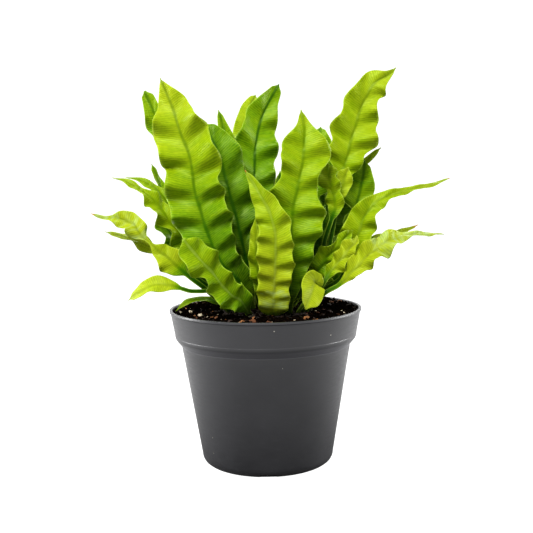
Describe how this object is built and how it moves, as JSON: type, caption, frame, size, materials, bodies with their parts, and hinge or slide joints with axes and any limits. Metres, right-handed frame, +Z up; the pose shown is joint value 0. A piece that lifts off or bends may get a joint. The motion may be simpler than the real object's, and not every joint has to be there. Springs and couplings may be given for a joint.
{
  "type": "potted fern",
  "caption": "Bird's nest fern with upright and arching ruffled fronds growing from one crown, in soil in a round tapered nursery pot.",
  "frame": {"origin": "middle of the flat underside of the pot, where it rests", "axes": "+Z up, along the pot's axis and out through the crown; -Y is the front that the picture shows; +X to the right of that view"},
  "size_m": [0.2769, 0.2126, 0.3116],
  "materials": {
    "pot": "satin dark grey moulded polypropylene",
    "soil": "moist dark peat with bark crumbs",
    "crown": "brown fibrous rhizome with old leaf bases",
    "leaf": "semi-gloss lime to mid green living frond"
  },
  "bodies": {
    "root": {"pot": "pot", "soil": "soil", "crown": "crown", "frond_left_tall": "leaf", "frond_left_back": "leaf", "frond_left_arched": "leaf", "frond_centre_left": "leaf", "frond_back_pale": "leaf", "frond_centre_back": "leaf", "frond_right_front": "leaf", "frond_front_bright": "leaf", "frond_front_narrow": "leaf", "frond_right_tall": "leaf", "frond_right_back": "leaf", "frond_right_edge": "leaf", "frond_right_mid": "leaf", "frond_right_low": "leaf", "frond_right_low_back": "leaf", "frond_front_right_curl": "leaf", "frond_right_short": "leaf", "frond_right_ruffled": "leaf", "frond_right_inner": "leaf", "frond_left_curl": "leaf", "frond_left_curl_back": "leaf", "frond_left_far": "leaf", "frond_left_far_low": "leaf", "frond_left_low": "leaf", "frond_soil_left": "leaf", "frond_front_left_low": "leaf", "frond_left_dark": "leaf", "frond_centre_inner": "leaf", "frond_back_right": "leaf", "frond_back_1": "leaf", "frond_back_2": "leaf", "frond_back_3": "leaf", "frond_back_4": "leaf", "frond_back_5": "leaf", "frond_back_6": "leaf", "frond_back_7": "leaf"}
  },
  "joints": []
}
